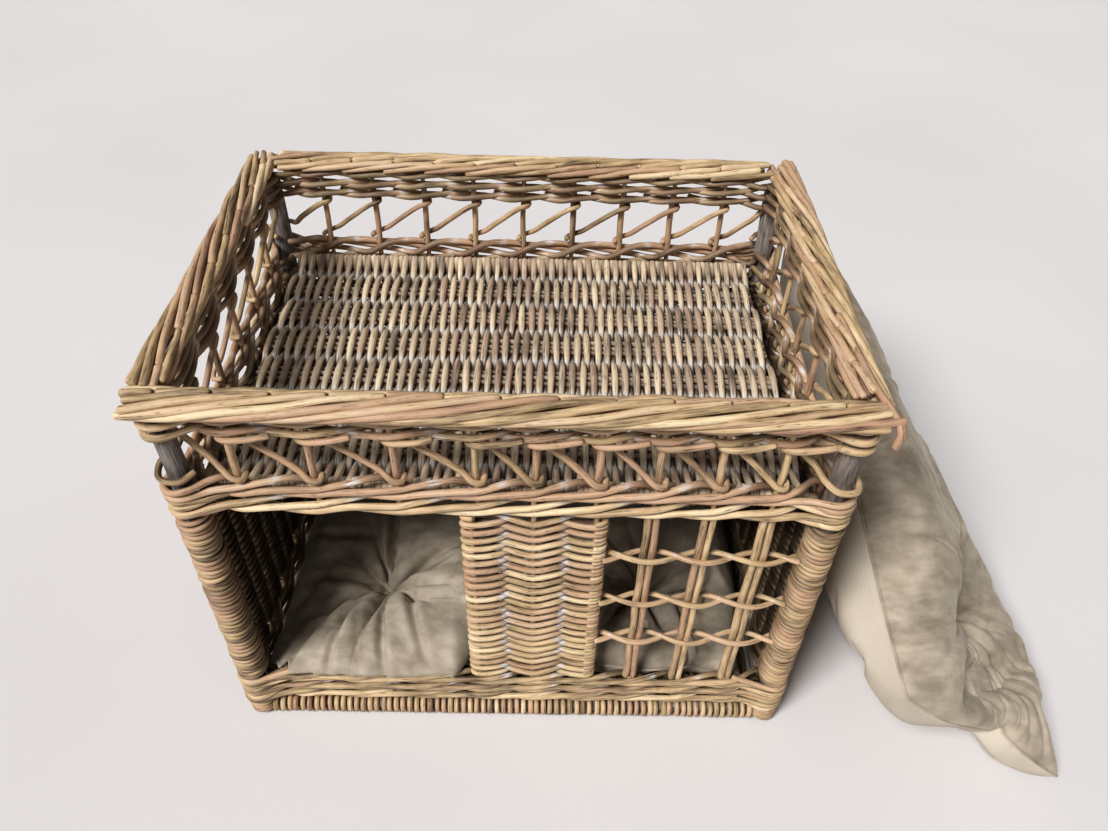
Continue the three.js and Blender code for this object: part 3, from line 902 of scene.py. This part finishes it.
def cushion_grid(seam, rise, drop, tufts, crown, overhang):
    """Two sheets that share the seam: points, faces, places on the sheet, points held by tufts, and the rim.

    seam(a, b), with a and b from -1 to 1, is the flat form. The first half of the faces is the velvet."""
    a, b = np.meshgrid(np.linspace(-1, 1, CELLS[0] + 1), np.linspace(-1, 1, CELLS[1] + 1), indexing="ij")
    small = 0.002
    flat = seam(a, b)
    along = seam(np.minimum(a + small, 1), b) - seam(np.maximum(a - small, -1), b)
    up = seam(a, np.minimum(b + small, 1)) - seam(a, np.maximum(b - small, -1))
    normal = np.cross(along, up)
    normal /= np.linalg.norm(normal, axis=2)[..., None]
    full = np.sqrt(np.clip((1 - np.abs(a) ** crown) * (1 - np.abs(b) ** crown), 0, 1))
    boxy = np.clip((1 - a**8) * (1 - b**6), 0, 1) ** 0.4
    held = np.zeros(a.shape, bool)
    for tuft_a, tuft_b in tufts:
        away = np.linalg.norm(flat - seam(np.array(tuft_a), np.array(tuft_b)), axis=2)
        full = full * (1 - TUFT_DEPTH * bell(away, 0.052))
        boxy = boxy * (1 - 0.35 * bell(away, 0.035))
        held |= away < 0.0075
    top = flat + normal * (rise * full)[..., None]
    bottom = flat - normal * (drop * boxy)[..., None] + overhang(a, b)
    inner = np.zeros(a.shape, bool)
    inner[1:-1, 1:-1] = True
    index = np.arange(a.size).reshape(a.shape)
    under = index.copy()
    under[inner] = a.size + np.arange(inner.sum())
    quads = [np.stack([g[:-1, :-1], g[1:, :-1], g[1:, 1:], g[:-1, 1:]], axis=2) for g in (index, under)]
    faces = np.concatenate([quads[0].reshape(-1, 4), quads[1].reshape(-1, 4)[:, ::-1]])
    points = np.concatenate([top.reshape(-1, 3), bottom[inner]])
    sheet = np.stack([a, b], axis=2)
    sheet = np.concatenate([sheet.reshape(-1, 2), sheet[inner]])
    pinned = np.concatenate([index[held], under[held]])
    rim = np.concatenate([index[:-1, 0], index[-1, :-1], index[:0:-1, -1], index[0, :0:-1]])
    return points, faces, sheet, pinned, rim


def inflate(thing, pinned, reach, frames=20):
    """Cloth with air inside: the cover swells and wrinkles, tied at its tufts. No point moves past reach."""
    before = np.array([v.co for v in thing.data.vertices])
    group = thing.vertex_groups.new(name="tied")
    group.add([int(i) for i in pinned], 1.0, "REPLACE")
    modifier = thing.modifiers.new("cloth", "CLOTH")
    settings = modifier.settings
    settings.quality = 6
    settings.mass = 0.25
    settings.tension_stiffness = 14
    settings.compression_stiffness = 5
    settings.shear_stiffness = 4
    settings.bending_stiffness = 0.25
    settings.use_pressure = True
    settings.uniform_pressure_force = 4
    settings.shrink_min = -0.08
    settings.vertex_group_mass = "tied"
    settings.effector_weights.gravity = 0
    modifier.point_cache.frame_end = frames
    for number in range(1, frames + 1):
        bpy.context.scene.frame_set(number)
    settled = thing.evaluated_get(bpy.context.evaluated_depsgraph_get())
    after = np.array([v.co for v in settled.data.vertices])
    thing.modifiers.remove(modifier)
    bpy.context.scene.frame_set(1)
    moved = after - before
    length = np.linalg.norm(moved, axis=1)[:, None]
    after = before + moved * np.minimum(1, reach / np.maximum(length, 1e-9))
    thing.data.vertices.foreach_set("co", after.ravel())


def along_and_across(away, heading):
    """The parts of each offset along a heading and across it."""
    cos, sin = math.cos(heading), math.sin(heading)
    return away[:, 0] * cos + away[:, 1] * sin, -away[:, 0] * sin + away[:, 1] * cos


def creased(sheet, size, tufts, creases, relief, seed):
    """How far each point stands out or in: folds round the tufts, then single creases and loose dents."""
    random = np.random.default_rng(seed)
    place = sheet * size / 2
    height = np.zeros(len(sheet))
    for tuft in tufts:
        away = place - np.array(tuft) * size / 2
        r = np.linalg.norm(away, axis=1)
        angle = np.arctan2(away[:, 1], away[:, 0])
        bent = angle + 0.25 * np.sin(3 * angle + random.uniform(0, 6.3)) + r * random.uniform(-3, 3)
        folds = 1 - 2.2 * np.abs(np.sin(4.5 * bent + random.uniform(0, 6.3))) ** 0.55
        height -= relief * folds * bell(r - 0.046, 0.040) * (1 + 0.4 * np.sin(2 * angle))
    for (a, b), heading, length, width, depth in creases:
        along, across = along_and_across(place - np.array([a, b]) * size / 2, math.radians(heading))
        across = across + 0.06 * along * np.sin(along * 31)
        valley = bell(across, width) - 0.55 * bell(across, 2.6 * width)
        height -= depth * valley * bell(along, length)
    for _ in range(70):
        centre = random.uniform(-1, 1, 2) * size / 2
        along, across = along_and_across(place - centre, random.uniform(0, math.pi))
        long, wide = random.uniform(0.02, 0.07), random.uniform(0.004, 0.016)
        dent = bell(along, long) * bell(across, wide)
        height += random.choice([-1, 1]) * random.uniform(0.0007, 0.0021) * dent
    edge = np.max(np.abs(sheet), axis=1)
    return height * np.clip((1 - edge) / 0.06, 0, 1)


def cover_piece(name, body, mesh, flat, faces, material, slot, *nodes):
    """One side of a cushion's cover, a closed shell. flat is each point's place on the cloth laid flat."""
    used = np.unique(faces)
    number = np.zeros(len(mesh), int)
    number[used] = np.arange(len(used))
    data = bpy.data.meshes.new(name)
    data.from_pydata(mesh[used].tolist(), [], number[faces].tolist())
    data.polygons.foreach_set("use_smooth", np.ones(len(faces), bool))
    data.materials.append(material)
    cloth = data.attributes.new("cloth", "FLOAT_VECTOR", "POINT")
    cloth.data.foreach_set("vector", np.pad(flat[used], ((0, 0), (0, 1))).ravel())
    made = placed(name, data)
    shell = made.modifiers.new("cloth thickness", "SOLIDIFY")
    shell.thickness = CLOTH_THICKNESS
    shell.offset = -1
    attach(made, body)
    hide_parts(*nodes)


def build_cushion(
    name, seam, size, rise, drop, tufts, creases, relief, crown, room, seed, overhang=lambda a, b: 0.0
):
    """A velvet and canvas cover, blown up as cloth, then creased. room() keeps it clear of other things."""
    points, faces, sheet, pinned, rim = cushion_grid(seam, rise, drop, tufts, crown, overhang)
    data = bpy.data.meshes.new(f"{name}_start")
    data.from_pydata(points.tolist(), [], faces.tolist())
    corners = np.empty(len(data.loops), int)
    data.loops.foreach_get("vertex_index", corners)
    layer = data.uv_layers.new(name="sheet")
    layer.data.foreach_set("uv", sheet[corners].ravel())
    start = placed(f"{name}_start", data)
    inflate(start, pinned, SWELLING)
    finer = start.modifiers.new("finer", "SUBSURF")
    finer.levels = finer.render_levels = 2
    made = start.evaluated_get(bpy.context.evaluated_depsgraph_get()).to_mesh()
    points = np.array([v.co for v in made.vertices])
    normal = np.array([v.normal for v in made.vertices])
    faces = np.array([p.vertices[:] for p in made.polygons])
    corners = faces.ravel()
    places = np.empty(2 * len(corners), np.float32)
    made.uv_layers[0].data.foreach_get("uv", places)
    sheet = np.zeros((len(points), 2))
    sheet[corners] = places.reshape(-1, 2)
    half = len(faces) // 2
    velvet_points = np.zeros(len(points), bool)
    velvet_points[np.unique(faces[:half])] = True
    height = creased(sheet, np.array(size), tufts, creases, relief, seed)
    points = points + normal * (height * np.where(velvet_points, 1.0, 0.12))[:, None]
    points = room(points)
    bpy.data.objects.remove(start)
    filling, velvet, canvas = (f"{name}_{part}" for part in ("filling", "velvet", "canvas"))
    cloth = sheet * np.array(size) / 2
    cover_piece(f"{name}_velvet_cover", name, points, cloth, faces[:half], VELVET, "velvet", velvet, filling)
    cover_piece(f"{name}_canvas_cover", name, points, cloth, faces[half:], CANVAS, "canvas", canvas)
    border = np.concatenate([rim, rim[:1]])
    welt = Weave(seed, (0.5, 0.6))
    welt.rod(curve(points[border], 0.006), 0.0017, wobble=0.0002, taper=0.0)
    mesh = welt.mesh(f"{name}_seam")
    mesh.materials.append(VELVET)
    piping = placed(f"{name}_seam", mesh)
    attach(piping, name)


def build_den_cushion():
    """The den's cushion fills its floor. Its front edge is pulled over the sill in the doorway."""
    low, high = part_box("den_cushion_velvet")
    under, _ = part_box("den_cushion_canvas")
    half_x, half_y, seam_z = (high.x - low.x) / 2, (high.y - low.y) / 2, low.z
    panel_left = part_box("front_panel")[0].x
    post_inside = -POST_X + POST_RADIUS + 0.008
    sill_inside = -POST_Y + 0.0125
    sill_top = SILL_BAND[1] + 0.0035
    door = ((post_inside + panel_left) / 2, (panel_left - post_inside) / 2)

    def over_sill(x):
        return np.clip((1 - np.abs((x - door[0]) / door[1])) / 0.12, 0, 1)

    def seam(a, b):
        x = half_x * a * (1 - 0.02 * (1 - b**2))
        pulled = over_sill(x) * np.clip((-b - 0.70) / 0.30, 0, 1)
        y = half_y * b * (1 - 0.02 * (1 - a**2)) - 0.032 * pulled
        return np.stack([x, y, seam_z + 0.027 * pulled], axis=-1)

    def room(p):
        p = p.copy()
        p[:, 0] = np.clip(p[:, 0], -POST_X + 0.0125, POST_X - 0.0125)
        for x, y in CORNERS:
            away = p[:, :2] - (CORNER_SIGN[x] * POST_X, CORNER_SIGN[y] * POST_Y)
            length = np.maximum(np.linalg.norm(away, axis=1), 1e-6)[:, None]
            p[:, :2] += away * (np.maximum(WRAP_REACH / length, 1) - 1)
        p[:, 1] = np.minimum(p[:, 1], POST_Y - 0.0125)
        p[:, 2] = np.maximum(p[:, 2], under.z + 0.0008)
        free = over_sill(p[:, 0]) * np.clip((p[:, 2] - sill_top + 0.004) / 0.004, 0, 1)
        p[:, 1] = np.maximum(p[:, 1], sill_inside + free * (-POST_Y - 0.021 - sill_inside))
        return p

    tufts = [(-0.555, -0.5), (0.555, -0.5)]
    creases = [
        ((-0.555, 0.2), 90, 0.13, 0.006, 0.022),
        ((0.555, 0.2), 88, 0.12, 0.007, 0.018),
        ((-0.78, -0.15), 172, 0.05, 0.006, 0.010),
        ((-0.8, 0.08), 160, 0.06, 0.006, 0.009),
        ((-0.72, -0.44), 178, 0.05, 0.007, 0.013),
        ((-0.69, -0.80), 78, 0.045, 0.006, 0.013),
        ((-0.52, -0.79), 98, 0.050, 0.006, 0.014),
        ((-0.4, -0.76), 112, 0.045, 0.006, 0.012),
        ((-0.82, -0.80), 55, 0.045, 0.006, 0.013),
        ((-0.38, -0.36), 25, 0.06, 0.006, 0.012),
        ((-0.36, -0.05), 48, 0.08, 0.009, 0.008),
        ((-0.2, -0.62), 10, 0.06, 0.010, 0.008),
        ((0.2, -0.3), 20, 0.08, 0.009, 0.008),
        ((0.7, -0.78), 100, 0.06, 0.006, 0.014),
        ((0.35, -0.74), 75, 0.06, 0.006, 0.014),
    ]
    size = (2 * half_x, 2 * half_y)
    rise, drop = (high.z - seam_z) * 0.85, (seam_z - under.z) * 0.95
    build_cushion("den_cushion", seam, size, rise, drop, tufts, creases, 0.0105, 3.2, room, 11)


def build_side_cushion():
    """The second cushion stands on its long edge and leans on the basket, velvet side out."""
    nodes = [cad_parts[f"side_cushion_{part}"] for part in ("velvet", "canvas")]
    points = np.array([v.co for node in nodes for v in node.data.vertices])
    x, y, z = points.T
    front_bottom, front_top, back_top, back_bottom = (
        points[np.argmax(reach)] for reach in (x - y - z, -x - 2 * y, z + y, x + y - z)
    )
    front_top = front_top + 0.16 * (front_bottom - front_top)
    front_bow = np.array([-0.024, -0.028, -0.021])
    basket_side, soft = POST_X + POST_RADIUS + 0.0085, 0.009

    def seam(a, b):
        s, t = ((np.asarray(v) + 1)[..., None] / 2 for v in (a, b))
        front = front_bottom + (front_top - front_bottom) * t
        back = back_bottom + (back_top - back_bottom) * t
        return front + (back - front) * s + front_bow * 0.1 * (1 - s) ** 2 * bowed(t)

    def bowed(t):
        return 0.8 * 4 * t * (1 - t) + 0.2 * 6.75 * t * (1 - t) ** 2

    def overhang(a, b):
        foot = 0.35 * bell(a + 0.86, 0.3) * (1 - b**2)
        shoulder = 1.0 * np.exp(-(((a + 0.6) / 0.4) ** 2) - ((b - 0.75) / 0.35) ** 2) * (1 - b**8)
        return (foot + shoulder)[..., None] * front_bow

    def room(p):
        p = p.copy()
        p[:, 2] = np.maximum(p[:, 2], 0.0022)
        p[:, 0] = basket_side + soft * np.logaddexp(0, (p[:, 0] - basket_side) / soft)
        return p

    size = (
        (np.linalg.norm(back_bottom - front_bottom) + np.linalg.norm(back_top - front_top)) / 2,
        (np.linalg.norm(front_top - front_bottom) + np.linalg.norm(back_top - back_bottom)) / 2,
    )
    tufts = [(-0.54, 0.0), (0.54, 0.0)]
    creases = [
        ((-0.8, -0.28), 205, 0.07, 0.006, 0.012),
        ((-0.84, -0.42), 212, 0.07, 0.006, 0.012),
        ((-0.86, -0.6), 218, 0.07, 0.006, 0.012),
        ((-0.74, -0.62), 235, 0.08, 0.006, 0.012),
        ((-0.62, -0.66), 248, 0.08, 0.006, 0.011),
        ((-0.48, -0.68), 262, 0.07, 0.007, 0.010),
        ((-0.86, 0.1), 175, 0.05, 0.008, 0.008),
        ((-0.7, 0.45), 135, 0.06, 0.008, 0.007),
        ((-0.4, 0.55), 100, 0.06, 0.007, 0.007),
        ((-0.3, -0.05), 0, 0.10, 0.008, 0.014),
        ((0.1, 0.0), 0, 0.12, 0.008, 0.012),
        ((0.0, 0.55), 60, 0.06, 0.009, 0.004),
        ((0.3, 0.6), 120, 0.06, 0.008, 0.005),
        ((0.55, 0.6), 90, 0.06, 0.007, 0.006),
        ((0.2, -0.6), 275, 0.08, 0.008, 0.005),
    ]
    build_cushion("side_cushion", seam, size, 0.050, 0.050, tufts, creases, 0.0052, 4, room, 23, overhang)


build_den_cushion()
build_side_cushion()


# ---------------------------------------------------------------- camera, light and floor


def build_studio():
    floor_mesh = bpy.data.meshes.new("studio_floor")
    reach = 30.0
    corners = [(-reach, -reach, 0), (reach, -reach, 0), (reach, reach, 0), (-reach, reach, 0)]
    floor_mesh.from_pydata(corners, [], [(0, 1, 2, 3)])
    floor = placed("studio_floor", floor_mesh)
    s = Shader("studio paper")
    place = s.add("TexCoord", {}).outputs["Object"]
    mottle = s.noise(place, 1.1, 2.0)
    s.wire(
        s.surface,
        {
            "Base Color": s.ramp(mottle, [(0.3, 212, 208, 207), (0.7, 218, 214, 213)]),
            "Roughness": 0.85,
            "Specular IOR Level": 0.2,
        },
    )
    floor_mesh.materials.append(s.material)

    world = bpy.data.worlds.new("studio")
    world.use_nodes = True
    background = world.node_tree.nodes["Background"]
    background.inputs["Color"].default_value = srgb(240, 240, 245)
    background.inputs["Strength"].default_value = 0.15
    bpy.context.scene.world = world
    bpy.context.scene.view_settings.view_transform = "Standard"
    bpy.context.scene.view_settings.look = "Medium High Contrast"

    suns = (("key", (-0.74, -0.76, 1.25), 3.2, 20), ("top", (0.1, -0.25, 1.0), 0.2, 110))
    for name, place, strength, spread in suns:
        light = bpy.data.lights.new(name, "SUN")
        light.energy = strength
        light.angle = math.radians(spread)
        lamp = placed(name, light)
        lamp.rotation_euler = (-Vector(place)).to_track_quat("-Z", "Y").to_euler()


def build_camera():
    data = bpy.data.cameras.new("camera")
    data.sensor_fit = "HORIZONTAL"
    data.sensor_width = 36
    data.lens = 28.74
    data.clip_start = 0.05
    yaw, pitch, roll = np.radians([0.98, 42.91, 1.79])
    ahead = Vector((math.sin(yaw) * math.cos(pitch), math.cos(yaw) * math.cos(pitch), -math.sin(pitch)))
    right = Vector((math.cos(yaw), -math.sin(yaw), 0))
    up = right.cross(ahead)
    turned_right = math.cos(roll) * right + math.sin(roll) * up
    turned_up = -math.sin(roll) * right + math.cos(roll) * up
    camera = placed("camera", data)
    axes = Matrix((turned_right, turned_up, -ahead)).transposed().to_4x4()
    axes.translation = (0.031, -0.831, 1.098)
    camera.matrix_world = axes
    bpy.context.scene.camera = camera


build_studio()
build_camera()
